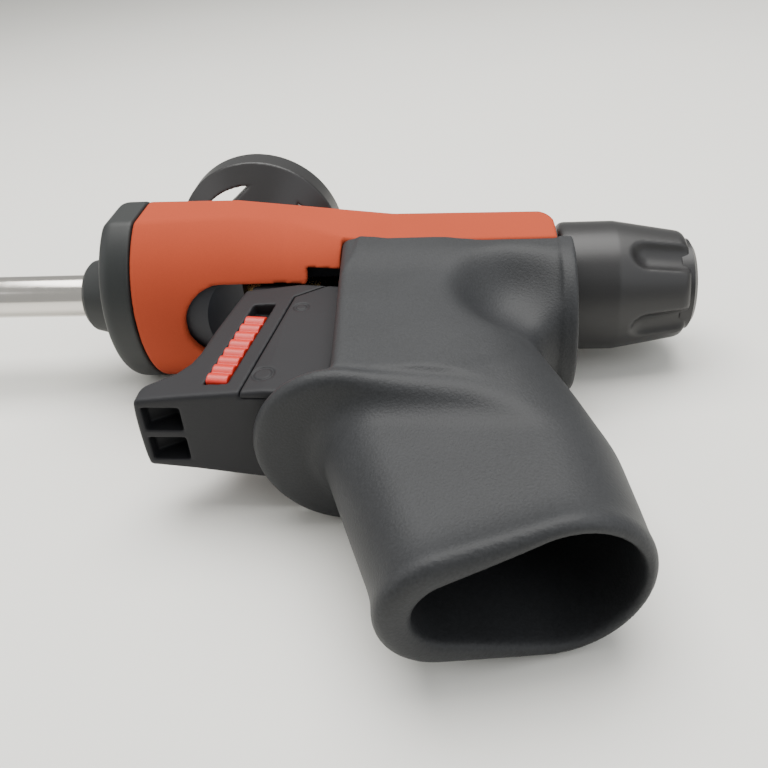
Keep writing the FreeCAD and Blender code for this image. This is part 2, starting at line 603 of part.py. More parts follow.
def make_drive():
    turned("needle_collar", [("collar_face", "needle_radius"), ("collar_face", "needle_collar_radius"),
                             ("collar_back", "needle_collar_radius"),
                             ("collar_back", "needle_radius")])
    turned("spring_seat", [("seat_face", ("needle_radius", 0.35)), ("seat_face", "guide_radius"),
                           ("seat_back", "guide_radius"),
                           ("seat_back", ("needle_radius", 0.35))])
    wire = size("spring_wire")
    start = size("collar_back") + wire + 0.1
    length = size("seat_face") - wire - 0.1 - start
    solid("return_spring", coil(size("spring_radius"), length, size("spring_turns"), wire,
                                Vector(start, 0, 0), Vector(0, 1, 0), 90))
    turned("rear_guide", [("guide_front", ("stem_radius", 0.05)), ("guide_front", "guide_radius"),
                          ("guide_rear", "guide_radius"), ("guide_rear", ("stem_radius", 0.05))])
    turned("adjuster_stem", [("stem_front", 0), ("stem_front", "stem_radius"),
                             ("stem_rear", "stem_radius"), ("stem_rear", 0)])


def make_knob():
    knob = rod(size("knob_radius"), (size("knob_front"), 0, 0), (size("knob_shoulder"), 0, 0))
    length = size("knob_rear") - size("knob_shoulder")
    cone = Part.makeCone(size("knob_radius"), size("knob_small"), length,
                         Vector(size("knob_shoulder"), 0, 0), Vector(1, 0, 0))
    knob = knob.fuse(cone)
    count = int(size("flute_count"))
    lean = (size("knob_radius") - size("knob_small")) / length
    reach = size("knob_radius") + size("flute_radius") - size("flute_depth")
    run = size("flute_front") - size("knob_shoulder")
    for index in range(count):
        start = (size("flute_front"), reach - lean * run, 0)
        end = (size("knob_rear") + 5, reach - lean * (length + 5), 0)
        rounded_end = Part.makeSphere(size("flute_radius"), Vector(*start))
        flute = rod(size("flute_radius"), start, end).fuse(rounded_end)
        flute.rotate(Vector(), Vector(1, 0, 0), size("flute_angle") + 360.0 * index / count)
        knob = knob.cut(flute)
    hollow = rod(size("knob_hollow"), (size("knob_front") - 1, 0, 0), (size("knob_floor"), 0, 0))
    stem_hole = rod(size("stem_radius"), (size("knob_front"), 0, 0), (size("stem_rear") + 0.1, 0, 0))
    recess = rod(size("knob_cap_radius"), (size("knob_rear") - 2, 0, 0), (size("knob_rear") + 1, 0, 0))
    sleeve = rod(size("stem_radius") + 3, (size("knob_front") + 1, 0, 0), (size("knob_floor") + 1, 0, 0))
    knob = knob.cut(hollow).fuse(sleeve).cut([stem_hole, recess])
    solid("knob", knob.removeSplitter())
    turned("knob_cap", [(("knob_rear", -2.0), 0), (("knob_rear", -2.0), "knob_cap_radius"),
                        (("knob_cap_rear", -1.0), "knob_cap_radius"),
                        ("knob_cap_rear", ("knob_cap_radius", -1.5)), ("knob_cap_rear", 0)])


# ---------------------------------------------------------------- build and export

def subparts():
    kinds = ("PartDesign::Body", "Part::Feature", "Part::Torus", "Part::Sphere", "Part::Cylinder")
    return [thing for thing in doc.Objects if thing.TypeId in kinds]


def main():
    fill_sheet()
    make_barrel()
    make_valve_block()
    make_front()
    make_shell()
    make_screws()
    make_handle()
    make_inner_frame()
    make_adapter()
    make_trigger()
    make_slider()
    make_drive()
    make_knob()
    doc.recompute()
    for thing in doc.Objects:
        if "Invalid" in thing.State or "Error" in thing.State:
            raise RuntimeError("%s did not build" % thing.Label)
    parts = subparts()
    faulty = [part.Label for part in parts if part.Shape.isNull() or not part.Shape.isValid()]
    if faulty:
        raise RuntimeError("no valid shape: " + ", ".join(faulty))
    os.makedirs("parts", exist_ok=True)
    whole = FreeCAD.BoundBox()
    for part in parts:
        part.Shape.exportStep("parts/%s.step" % part.Label)
        whole.add(part.Shape.BoundBox)
        print("%-16s %2d solid(s) %9.1f mm3" % (part.Label, len(part.Shape.Solids), part.Shape.Volume))
    print("box", whole)


main()
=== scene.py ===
import json
import math

import bpy
import numpy as np
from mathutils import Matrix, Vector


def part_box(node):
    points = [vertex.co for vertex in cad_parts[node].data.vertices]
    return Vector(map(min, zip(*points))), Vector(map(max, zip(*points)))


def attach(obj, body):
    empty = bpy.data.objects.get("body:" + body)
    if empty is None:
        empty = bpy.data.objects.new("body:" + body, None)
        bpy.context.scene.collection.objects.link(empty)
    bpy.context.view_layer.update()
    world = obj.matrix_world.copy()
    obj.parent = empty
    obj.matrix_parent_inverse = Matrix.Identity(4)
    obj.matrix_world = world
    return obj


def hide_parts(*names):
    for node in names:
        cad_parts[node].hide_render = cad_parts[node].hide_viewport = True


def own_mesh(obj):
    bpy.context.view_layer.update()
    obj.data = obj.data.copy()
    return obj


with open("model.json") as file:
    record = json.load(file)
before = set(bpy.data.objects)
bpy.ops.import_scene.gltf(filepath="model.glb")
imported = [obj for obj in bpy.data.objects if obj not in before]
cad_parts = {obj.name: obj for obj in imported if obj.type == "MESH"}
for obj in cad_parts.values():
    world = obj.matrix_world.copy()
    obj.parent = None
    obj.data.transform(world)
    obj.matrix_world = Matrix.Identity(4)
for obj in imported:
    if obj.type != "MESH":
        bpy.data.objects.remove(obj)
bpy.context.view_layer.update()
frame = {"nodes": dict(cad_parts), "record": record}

import openvdb
from mathutils import Matrix, Vector

# Lengths are millimetres on the gun's own axes until shape_to_mesh, lathe, coil and to_row turn them
# into metres in the row's frame. X runs from the nozzle to the knob, Y from the grip to the can and Z
# to the gun's left. The barrel's axis and the can's axis cross at the zero point. Light sizes, the
# camera's lens and the scales and heights inside the materials are Blender's own units.
MM = 0.001


def zero_point():
    """Where the barrel's and the can's axes cross, in the row's frame."""
    tube_low, tube_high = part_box("barrel_tube")
    ring_low, ring_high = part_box("can_basket")
    return Vector(((ring_low[0] + ring_high[0]) / 2, (tube_low[1] + tube_high[1]) / 2,
                   (tube_low[2] + tube_high[2]) / 2))


ZERO = zero_point()


def span(node, axis):
    """Where a CAD node starts and ends along one axis, in millimetres from the zero point."""
    low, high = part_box(node)
    return (low[axis] - ZERO[axis]) / MM, (high[axis] - ZERO[axis]) / MM


# ---------------------------------------------------------------- distance fields

def blend(value, start, end, first, last):
    """Run straight from first to last while value runs from start to end."""
    part = np.clip((value - start) / (end - start), 0.0, 1.0)
    return first + (last - first) * part


def soft_max(a, b, round_off):
    """The larger of two fields, with the edge between them rounded."""
    mix = np.maximum(round_off - np.abs(a - b), 0.0) / round_off
    return np.maximum(a, b) + mix * mix * round_off / 4


def soft_min(a, b, round_off):
    """The smaller of two fields: two bodies joined, with a fillet between them."""
    return -soft_max(-a, -b, round_off)


def cut(body, tool, round_off=0.6):
    """Take a tool out of a body, with the new edge rounded."""
    return soft_max(body, -tool, round_off)


def box_field(x, y, z, low, high, corner=0.0):
    """A box between two corners."""
    middle = [(a + b) / 2 for a, b in zip(low, high)]
    half = [(b - a) / 2 - corner for a, b in zip(low, high)]
    reach = [np.abs(p - m) - h for p, m, h in zip((x, y, z), middle, half)]
    outside = np.sqrt(sum(np.maximum(r, 0.0) ** 2 for r in reach))
    return outside + np.minimum(np.maximum.reduce(reach), 0.0) - corner


def drop_field(x, z, front, rear, front_radius, rear_radius):
    """A teardrop in plan: round ends of two sizes joined by tangents."""
    first = front + front_radius
    length = rear - rear_radius - first
    lean = (front_radius - rear_radius) / length
    across = np.sqrt(1 - lean * lean)
    along, side = x - first, np.abs(z)
    front_end = np.hypot(along, side) - front_radius
    rear_end = np.hypot(along - length, side) - rear_radius
    flank = across * side + lean * along - front_radius
    position = across * along - lean * side
    field = np.where(position < 0, front_end, flank)
    return np.where(position > length * across * (across + lean * lean), rear_end, field)


def polygon_field(x, y, corners):
    """A closed outline's signed distance in a plane."""
    nearest = np.full(x.shape, 1e9, dtype=np.float32)
    inside = np.zeros(x.shape, dtype=bool)
    for (ax, ay), (bx, by) in zip(corners, corners[1:] + corners[:1]):
        ex, ey = bx - ax, by - ay
        part = np.clip(((x - ax) * ex + (y - ay) * ey) / (ex * ex + ey * ey), 0.0, 1.0)
        nearest = np.minimum(nearest, np.hypot(x - ax - part * ex, y - ay - part * ey))
        crosses = (ay > y) != (by > y)
        turn = ex * (y - ay) / (ey if ey else 1e-9) + ax
        inside ^= crosses & (x < turn)
    return np.where(inside, -nearest, nearest)


def smooth_table(value, knots, heights):
    """Read a short table at any value, with its corners smoothed over."""
    spread, spacing, margin = 6.0, 0.5, 20.0
    dense = np.arange(min(knots) - margin, max(knots) + margin, spacing)
    order = np.argsort(knots)
    line = np.interp(dense, np.array(knots)[order], np.array(heights)[order])
    count = int(spread / spacing) * 2 + 1
    kernel = np.hanning(count + 2)[1:-1]
    padded = np.pad(line, count // 2, mode="edge")
    return np.interp(value, dense, np.convolve(padded, kernel / kernel.sum(), mode="valid"))


def grid(low, high, step):
    """Sample points between two corners, with two steps to spare, and where they start."""
    axes = [np.arange(a - 2 * step, b + 2 * step, step, dtype=np.float32) for a, b in zip(low, high)]
    return np.meshgrid(*axes, indexing="ij"), np.array([axis[0] for axis in axes])


# ---------------------------------------------------------------- mesh makers

def to_row(point):
    """A point on the gun's axes, in metres in the row's frame."""
    return Vector([point[i] * MM + ZERO[i] for i in range(3)])


def make_object(name, vertices, faces):
    """A smooth-shaded mesh object, added to the scene."""
    mesh = bpy.data.meshes.new(name)
    mesh.from_pydata(vertices, [], faces)
    mesh.validate()
    mesh.shade_smooth()
    thing = bpy.data.objects.new(name, mesh)
    bpy.context.scene.collection.objects.link(thing)
    return thing


def shape_to_mesh(name, shape, low, high, step):
    """Mesh a distance field between two corners."""
    (x, y, z), start = grid(low, high, step)
    volume = openvdb.FloatGrid()
    volume.background = 5.0
    volume.copyFromArray(np.ascontiguousarray(shape(x, y, z), dtype=np.float32))
    points, quads = volume.convertToQuads(isovalue=0.0)
    places = (points * step + start) * MM + np.array(ZERO)
    return make_object(name, places.tolist(), quads[:, ::-1].tolist())


def lathe(name, profile):
    """Turn a closed outline of (along, radius) points round the barrel's axis."""
    segments, count = 128, len(profile)
    vertices = []
    for step in range(segments):
        angle = 2 * math.pi * step / segments
        for along, radius in profile:
            vertices.append(to_row((along, radius * math.cos(angle), radius * math.sin(angle))))
    faces = []
    for step in range(segments):
        here, there = step * count, (step + 1) % segments * count
        for i in range(count):
            j = (i + 1) % count
            faces.append((here + i, here + j, there + j, there + i))
    thing = make_object(name, vertices, faces)
    bevel = thing.modifiers.new("edges", "BEVEL")
    bevel.width = 0.3 * MM
    bevel.segments = 3
    bevel.limit_method = "ANGLE"
    bevel.angle_limit = math.radians(25)
    bevel.harden_normals = True
    return thing


def coil(name, node, axis, wire, turns):
    """A round-wire compression spring that fills its CAD node's box along one axis."""
    low, high = span(node, axis)
    radius = span(node, 2)[1] - wire
    rings, sides = turns * 24, 10
    vertices, faces = [], []
    for ring in range(rings + 1):
        angle = 2 * math.pi * turns * ring / rings
        along = low + wire + (high - low - 2 * wire) * ring / rings
        for side in range(sides):
            around = 2 * math.pi * side / sides
            reach = radius + wire * math.cos(around)
            place = [0.0, 0.0, reach * math.sin(angle)]
            place[axis] = along + wire * math.sin(around)
            place[1 - axis] = reach * math.cos(angle)
            vertices.append(to_row(place))
    for ring in range(rings):
        for side in range(sides):
            here, after = ring * sides + side, ring * sides + (side + 1) % sides
            faces.append((here, after, after + sides, here + sides))
    faces.append(tuple(range(sides)))
    faces.append(tuple(range(rings * sides, rings * sides + sides)))
    return make_object(name, vertices, faces)


# ---------------------------------------------------------------- shell and collar

SHELL_FRONT, SHELL_REAR = span("body_shell", 0)
SHELL_WIDE, SHELL_NARROW = span("body_shell", 2)[1], 19.6
TAPER_START, TAPER_END = 2.0, 45.0
WALL = 2.2
SPLIT = -10.0
UNDER_DEPTH = 19.5
CREASE_FRONT, CREASE_REAR = -4.8, -0.5
SIDE_TOP_FRONT, SIDE_TOP_REAR = 10.0, 6.5
ROOF_FRONT, ROOF_REAR, ROOF_RATIO, ROOF_HOLE = 22.0, 17.0, 0.58, 9.3
SHOULDER_ROUND = 1.6
CUTOUT_HALF, CUTOUT_FRONT = 11.4, -10.0
NOTCH_HALF, NOTCH_FRONT, NOTCH_TOP = 14.8, 24.0, -7.0
SLANT, SLANT_START, SLANT_RUN = 3.0, -1.5, 8.0
SCREW_RADIUS, SCREW_SEAT, SCREW_SEAT_DEPTH = 3.0, 3.2, 2.0
COLLAR_FRONT, COLLAR_REAR = span("front_collar", 0)
COLLAR_BORE, COLLAR_BEVEL = 12.2, 4.0
HANDLE_FRONT = 33.0
HANDLE_REAR = SHELL_REAR + 3.0
NEVER = -50.0  # a field value that no maximum picks


def half_width(x):
    """The casing's half-width: wide in front, narrow over the handle."""
    return blend(x, TAPER_START, TAPER_END, SHELL_WIDE, SHELL_NARROW)


def shell_section(x, y, z, wall):
    """The shell's section at every station: shallow arc below, upright sides, shoulders and roof."""
    outer = half_width(x)
    side = np.abs(z)
    crease = blend(x, SHELL_FRONT, HANDLE_FRONT, CREASE_FRONT, CREASE_REAR)
    reach, depth = outer - wall, UNDER_DEPTH - wall
    centre = (reach * reach + crease * crease - depth * depth) / (2 * (crease + depth))
    arc_grows_from, growth = 18.0, 0.16
    fade = growth * np.maximum(x - arc_grows_from, 0.0)
    round_under = np.where(y < centre, np.hypot(y - centre, z) - depth - centre - fade, NEVER)
    top = blend(x, SHELL_FRONT, SHELL_REAR, SIDE_TOP_FRONT, SIDE_TOP_REAR) - 0.4 * wall
    roof = blend(x, SHELL_FRONT, SHELL_REAR, ROOF_FRONT, ROOF_REAR) - wall
    flat = ROOF_RATIO * outer - 0.6 * wall
    run, rise = flat - (outer - wall), roof - top
    length = np.hypot(run, rise)
    shoulder = ((side - outer + wall) * rise - (y - top) * run) / length
    body = soft_max(side - outer + wall, shoulder, SHOULDER_ROUND)
    body = soft_max(body, y - roof, SHOULDER_ROUND)
    under = np.where(x < HANDLE_FRONT, round_under, NEVER)
    return soft_max(body, under, 0.5)


def shell_shape(x, y, z):
    """The orange shell: open below, with the trigger's arched cut-out and the notch behind it."""
    outer = shell_section(x, y, z, 0.0)
    ends = np.maximum(SHELL_FRONT + 0.05 - x, x - SHELL_REAR)
    body = soft_max(outer, ends, 0.8)
    body = cut(body, shell_section(x, y, z, WALL), 0.5)
    split = np.maximum(HANDLE_FRONT - x, y - SPLIT)
    body = cut(body, split, 0.5)
    nose = CUTOUT_FRONT + CUTOUT_HALF
    arch = np.where(x < nose, np.hypot(x - nose, z), np.abs(z)) - CUTOUT_HALF
    body = cut(body, np.maximum(arch, y - SPLIT), 0.5)
    notch_low, notch_high = (NOTCH_FRONT, -60, -NOTCH_HALF), (HANDLE_FRONT + 2, NOTCH_TOP, NOTCH_HALF)
    body = cut(body, box_field(x, y, z, notch_low, notch_high), 0.4)
    body = cut(body, np.maximum(np.hypot(x, z) - ROOF_HOLE, -y), 0.5)
    rear_edge = SHELL_REAR - SLANT * np.clip((y - SLANT_START) / SLANT_RUN, 0.0, 1.0) ** 2
    body = soft_max(body, x - rear_edge, 0.8)
    screw_low, screw_high = span("housing_screws", 0)
    screw_y = sum(span("housing_screws", 1)) / 2
    for station in (screw_low + SCREW_RADIUS, screw_high - SCREW_RADIUS):
        seat = np.hypot(x - station, y - screw_y) - SCREW_SEAT
        body = cut(body, np.maximum(seat, z + SHELL_NARROW - SCREW_SEAT_DEPTH), 0.3)
    return body


def collar_shape(x, y, z):
    """The dark collar: the shell's first section, a hair larger and rounded off in front."""
    proud, gap = 0.15, 0.05
    outer = shell_section(np.maximum(x, SHELL_FRONT), y, z, -proud)
    body = soft_max(outer, COLLAR_FRONT - x, COLLAR_BEVEL)
    body = soft_max(body, x - COLLAR_REAR + gap, 0.8)
    return cut(body, np.hypot(y, z) - COLLAR_BORE, 0.6)


# ---------------------------------------------------------------- handle


GRIP_ROWS = (
    # station, front, rear, front radius, rear radius, rake in degrees
    (-24.0, 36.0, 79.0, 15.0, 13.0, 0.0),
    (-37.5, 34.8, 80.5, 15.5, 15.0, 1.0),
    (-50.3, 34.5, 84.8, 15.5, 16.5, 3.4),
    (-66.5, 33.5, 90.0, 13.5, 16.8, 7.3),
    (-84.6, 40.5, 95.2, 12.6, 16.0, 10.9),
    (-104.8, 48.0, 97.6, 12.0, 15.6, 13.5),
    (-113.3, 50.3, 97.6, 12.6, 16.0, 14.2),
)
HOLLOW_ROWS = (
    (-69.5, 41.0, 85.0, 8.5, 13.2, 10.3),
    (-92.5, 49.5, 93.5, 8.0, 13.2, 14.0),
    (-115.5, 56.8, 96.0, 7.5, 13.5, 14.2),
)
GRIP_MIDDLE, GRIP_TOP = 66.0, -20.0
MOUTH = -113.4
FLARE, FLARE_LENGTH = 1.1, 5.0
TROUGH_BEND, TROUGH_INNER = -14.0, 17.2
NECK_TOP_HALF, NECK_FOOT_HALF = 20.9, 19.4
NECK_FOOT, NECK_BOTTOM, NECK_LEAD, NECK_REAR = -66.0, -66.5, 37.0, 68.0
GUARD_PLAN = (19.0, 77.0, 20.0, 17.0)  # front, rear, front radius, rear radius
GUARD_MIDDLE, GUARD_HALF = -69.0, 2.6
SCALLOP_CENTRE, SCALLOP_RADII = (76.5, -32.5, 25.0), (13.5, 15.5, 15.5)
RIM_HALF = 1.3
POCKET_LOW, POCKET_HIGH = (-10, -66.5, -14), (54, 0, 14)
KNOB_ROOM = 17.8
HOLLOW_TOP = -70.0


def grip_station(x, y):
    """Distance along the grip: the height at its middle of the raked plane through a point."""
    knots = [row[0] for row in GRIP_ROWS]
    rakes = [math.tan(math.radians(row[5])) for row in GRIP_ROWS]
    station = y
    for _ in range(2):
        station = y - smooth_table(station, knots, rakes) * (x - GRIP_MIDDLE)
    return station


def grip_section(x, z, station, rows):
    """The grip's or its hollow's teardrop section at a station."""
    columns = list(zip(*rows))
    front, rear, front_radius, rear_radius = [smooth_table(station, columns[0], columns[i])
                                              for i in (1, 2, 3, 4)]
    return drop_field(x, z, front, rear, front_radius, rear_radius)


def neck_field(x, y, z):
    """The flat-sided web between the trough and the guard."""
    outer = half_width(x)
    taper = blend(y, NECK_FOOT, SPLIT, NECK_FOOT_HALF, NECK_TOP_HALF)
    flat_half = taper * outer / half_width(np.float32(HANDLE_FRONT))
    flat_half = np.maximum(flat_half, outer * blend(y, NECK_FOOT, -30.0, 0.97, 1.0))
    lead = blend(y, NECK_FOOT, SPLIT, NECK_LEAD, HANDLE_FRONT)
    neck = soft_max(np.abs(z) - flat_half, lead - x, 3.2)
    neck = soft_max(neck, x - NECK_REAR, 14.0)
    return soft_max(neck, NECK_BOTTOM - y, 1.0)


def grip_field(x, y, z, station):
    """The grip's outside, with a flared mouth."""
    flare = FLARE * np.exp(-((station - MOUTH) / FLARE_LENGTH) ** 2)
    grip = grip_section(x, z, station, GRIP_ROWS) - flare
    grip = soft_max(grip, MOUTH - station, 4.5)
    return soft_max(grip, y - GRIP_TOP, 4.0)


def hollow_out_handle(body, x, y, z, station):
    """Cut the trigger's pocket, the trough's inside, the knob's room and the grip's hollow."""
    body = cut(body, box_field(x, y, z, POCKET_LOW, POCKET_HIGH, 1.0), 0.8)
    floor_sag = 1.0
    inside = np.hypot(np.minimum(y - TROUGH_BEND - floor_sag, 0.0), z) - TROUGH_INNER
    body = cut(body, np.maximum(inside, TROUGH_BEND - y), 0.8)
    knob_gap = 0.4
    body = cut(body, np.maximum(np.hypot(y, z) - KNOB_ROOM, SHELL_REAR - knob_gap - x), 0.6)
    hollow = grip_section(x, z, station, HOLLOW_ROWS)
    return cut(body, soft_max(hollow, station - HOLLOW_TOP, 4.0), 2.2)


def handle_shape(x, y, z):
    """The grey moulding: a trough under the shell, a web, a hand guard and a hollow grip."""
    station = grip_station(x, y)
    round_bottom = np.hypot(np.minimum(y - TROUGH_BEND, 0.0), z) - half_width(x)
    trough = soft_max(round_bottom, x - HANDLE_REAR, 1.6)
    trough_start = HANDLE_FRONT + 6
    trough = np.maximum(trough, trough_start - x)
    guard = soft_max(drop_field(x, z, *GUARD_PLAN), np.abs(y - GUARD_MIDDLE) - GUARD_HALF, 3.4)
    body = soft_min(trough, neck_field(x, y, z), 5.0)
    body = soft_min(body, guard, 1.5)
    body = soft_min(body, grip_field(x, y, z, station), blend(x, 30.0, 75.0, 4.0, 12.0))
    parts = [(p - c) / r for p, c, r in zip((x, y, np.abs(z)), SCALLOP_CENTRE, SCALLOP_RADII)]
    scallop = np.sqrt(sum(part ** 2 for part in parts)) - 1.0
    body = cut(body, scallop * SCALLOP_RADII[0], 5.0)
    rim = np.maximum(round_bottom, np.abs(x - HANDLE_REAR + RIM_HALF) - RIM_HALF)
    body = soft_min(body, rim, 2.0)
    body = soft_max(body, y - SPLIT, 1.0)
    return hollow_out_handle(body, x, y, z, station)


# ---------------------------------------------------------------- trigger and its lock

TRIGGER_SIDE = [(8.0, -18.2), (6.8, -24.0), (4.3, -38.0), (3.2, -47.0), (2.0, -51.0), (-0.4, -54.3),
                (-3.8, -56.3), (-6.8, -58.2), (-8.2, -60.2), (-8.2, -63.9), (-7.6, -64.4), (3.0, -64.6),
                (24.9, -65.8), (36.0, -63.8), (36.0, -20.0), (24.0, -18.2)]
TIP_POCKET_SIDE = [(-6.3, -70.0), (2.4, -70.0), (2.4, -57.0), (-1.0, -57.8), (-6.3, -61.0)]
PIVOT = (17.0, 13.0)
ARM_SIDE = [(9.0, -20.0), (12.5, -9.0), (12.5, 13.0), (20.0, 13.0), (17.0, 8.0), (17.0, -8.0),
            (24.0, -20.0)]
ARM_MIDDLE, ARM_HALF = 8.1, 1.9
PIVOT_BOSS, PIN_HOLE = 4.0, 2.05
PUSH_X, PUSH_RADIUS = 18.0, 3.0
CORE_LOW, CORE_HIGH = (9.0, -24.0, -10.2), (28.0, -14.8, 10.2)
TIP_HALF, BACK_HALF, TIP_TAPER_START, TIP_TAPER_END = 9.3, 12.3, -6.2, 22.0
TIP_FRONT, TIP_CURVE = -8.6, 9.0
TIP_POCKET_MIDDLE, TIP_POCKET_HALF = 4.1, 3.1
PANEL_SIDE = [(22.0, -24.8), (16.4, -66.5), (36.5, -66.5), (36.5, -19.0), (30.0, -19.0)]
COVER_FLOOR, COVER_GAP = 10.4, 0.22
MARKS = ((20.8, -58.6, 2.3), (24.7, -30.1, 1.6))  # x, y, radius
MARK_GROOVE = 0.32
SLIDER_TOP = (14.2, -32.6)
SLIDER_LEAN = math.radians(7.7)
SLIDER_LENGTH, SLIDER_HALF, SLIDER_FACE, SLIDER_BACK = 28.0, 2.5, 12.0, 8.7
SLOT_LOW, SLOT_HIGH = (-2.85, -5.4, 8.3), (2.85, SLIDER_LENGTH + 0.4, 20.0)
RIBS, RIB_DEPTH, RIB_CURVE = 8, 0.85, 1.6


def trigger_half(x):
    """The trigger's half-width: narrow at the tip."""
    return blend(x, TIP_TAPER_START, TIP_TAPER_END, TIP_HALF, BACK_HALF)


def slider_axes(x, y):
    """Across and down the slot from the slider's upper end."""
    dx, dy = x - SLIDER_TOP[0], y - SLIDER_TOP[1]
    across = dx * math.cos(SLIDER_LEAN) - dy * math.sin(SLIDER_LEAN)
    down = -dx * math.sin(SLIDER_LEAN) - dy * math.cos(SLIDER_LEAN)
    return across, down


def trigger_solid(x, y, z):
    """The trigger's outside, before its side cover is split off."""
    body = polygon_field(x, y, TRIGGER_SIDE)
    bulge = TIP_FRONT + (z / TIP_CURVE) ** 2
    body = soft_max(body, bulge - x, 0.8)
    return soft_max(body, np.abs(z) - trigger_half(x), 1.3)


def arms_field(x, y, z):
    """The two arms that carry the pivot and push the needle's collar."""
    arms = polygon_field(x, y, ARM_SIDE)
    arms = soft_min(arms, np.hypot(x - PIVOT[0], y - PIVOT[1]) - PIVOT_BOSS, 0.4)
    arms = soft_min(arms, np.hypot(x - PUSH_X, y) - PUSH_RADIUS, 0.4)
    return soft_max(arms, np.abs(np.abs(z) - ARM_MIDDLE) - ARM_HALF, 0.4)


def trigger_shape(x, y, z):
    """The trigger, with its arms, the slider's slot, the cover's seat and two pockets in the tip."""
    core = box_field(x, y, z, CORE_LOW, CORE_HIGH, 1.0)
    body = soft_min(trigger_solid(x, y, z), core, 0.5)
    body = soft_min(body, arms_field(x, y, z), 0.5)
    body = cut(body, np.hypot(x - PIVOT[0], y - PIVOT[1]) - PIN_HOLE, 0.2)
    panel = np.maximum(polygon_field(x, y, PANEL_SIDE), COVER_FLOOR - z)
    body = cut(body, panel, 0.3)
    across, down = slider_axes(x, y)
    body = cut(body, box_field(across, down, z, SLOT_LOW, SLOT_HIGH, 0.3), 0.3)
    for sign in (1, -1):
        rows = np.abs(z * sign - TIP_POCKET_MIDDLE) - TIP_POCKET_HALF
        pocket = soft_max(polygon_field(x, y, TIP_POCKET_SIDE), rows, 0.5)
        body = cut(body, pocket, 0.4)
    return body


def cover_shape(x, y, z):
    """The side cover behind the panel line, with two ring marks on its face."""
    panel = polygon_field(x, y, PANEL_SIDE) + COVER_GAP
    body = soft_max(trigger_solid(x, y, z), panel, 0.5)
    for mark_x, mark_y, mark_radius in MARKS:
        circle = np.hypot(x - mark_x, y - mark_y) - mark_radius
        body = cut(body, np.hypot(circle, z - trigger_half(x)) - MARK_GROOVE, 0.2)
    seat_gap = 0.1
    return soft_max(body, COVER_FLOOR + seat_gap - z, 0.2)


def slider_shape(x, y, z):
    """The lock slider: a plate with rounded cross ribs."""
    across, down = slider_axes(x, y)
    pitch = SLIDER_LENGTH / RIBS
    phase = np.mod(down, pitch) / pitch
    ridge = SLIDER_FACE - RIB_DEPTH * np.abs(2 * phase - 1.0) ** RIB_CURVE
    low, high = (-SLIDER_HALF, 0.0, SLIDER_BACK), (SLIDER_HALF, SLIDER_LENGTH, SLIDER_FACE)
    body = box_field(across, down, z, low, high, 0.35)
    return soft_max(body, (z - ridge) * 0.7, 0.3)


# ---------------------------------------------------------------- knob and can socket

KNOB_FRONT, KNOB_REAR = span("knob", 0)
KNOB_RADIUS, KNOB_SMALL, KNOB_SHOULDER = 17.2, 13.9, 103.5
KNOB_HOLLOW, KNOB_FLOOR = 13.0, 104.0
FLUTES, FLUTE_ANGLE = 5, math.radians(123)
FLUTE_RADIUS, FLUTE_DEPTH, FLUTE_START = 5.0, 2.5, 111.0
SLEEVE_RADIUS, SLEEVE_END = 7.0, 106.0
STEM_RADIUS, STEM_END = 4.0, 110.1


def knob_shape(x, y, z):
    """The knob: a cylinder and a taper with round-ended flutes, hollow behind a central sleeve."""
    radius = np.hypot(y, z)
    slope = (KNOB_RADIUS - KNOB_SMALL) / (KNOB_REAR - KNOB_SHOULDER)
    skin = KNOB_RADIUS - np.maximum(x - KNOB_SHOULDER, 0.0) * slope
    body = soft_max(radius - skin, np.maximum(KNOB_FRONT - x, x - KNOB_REAR), 2.4)
    angle = np.arctan2(z, y) - FLUTE_ANGLE
    pitch = 2 * math.pi / FLUTES
    turn = np.mod(angle + pitch / 2, pitch) - pitch / 2
    across, outward = radius * np.sin(turn), radius * np.cos(turn)
    sink = skin + FLUTE_RADIUS - FLUTE_DEPTH
    along = np.minimum(x - FLUTE_START, 0.0)
    flute = np.sqrt(across ** 2 + (outward - sink) ** 2 + along ** 2) - FLUTE_RADIUS
    body = cut(body, flute, 0.7)
    hollow = np.maximum(radius - KNOB_HOLLOW, x - KNOB_FLOOR)
    sleeve = np.maximum(radius - SLEEVE_RADIUS, KNOB_FRONT + 1 - x)
    body = soft_min(cut(body, hollow, 0.6), np.maximum(sleeve, x - SLEEVE_END), 0.4)
    return cut(body, np.maximum(radius - STEM_RADIUS, x - STEM_END), 0.3)


BASKET_OUTLINE = [(7.05, 22.5), (11.5, 22.5), (25.4, 34.0), (25.4, 42.0), (20.3, 42.0), (20.3, 35.5),
                  (10.3, 26.0), (7.05, 26.0)]
BASKET_TOP = 42.0
WINDOWS, WINDOW_ANGLE, WINDOW_CHORD, WINDOW_RADIUS = 3, 8.0, 15.7, 19.7


def basket_shape(x, y, z):
    """The can's socket: a ring on a cone, with a D-shaped window between each pair of arms."""
    radius = np.hypot(x, z)
    body = polygon_field(radius, y, BASKET_OUTLINE) - 0.05
    body = soft_max(body, y - BASKET_TOP, 0.8)
    for turn in range(WINDOWS):
        angle = math.radians(WINDOW_ANGLE + 360.0 * turn / WINDOWS)
        reach = x * math.cos(angle) + z * math.sin(angle)
        window = soft_max(WINDOW_CHORD - reach, radius - WINDOW_RADIUS, 0.5)
        body = cut(body, window, 0.6)
    return body


# ---------------------------------------------------------------- materials

def new_material(name):
    """A new node material, with its nodes, its links and its shader."""
    material = bpy.data.materials.new(name)
    material.use_nodes = True
    nodes = material.node_tree.nodes
    return material, nodes, material.node_tree.links, nodes["Principled BSDF"]


def add_noise(nodes, links, vector, scale, detail):
    """Noise over a vector socket."""
    noise = nodes.new("ShaderNodeTexNoise")
    noise.inputs["Scale"].default_value = scale
    noise.inputs["Detail"].default_value = detail
    links.new(vector, noise.inputs["Vector"])
    return noise.outputs["Fac"]


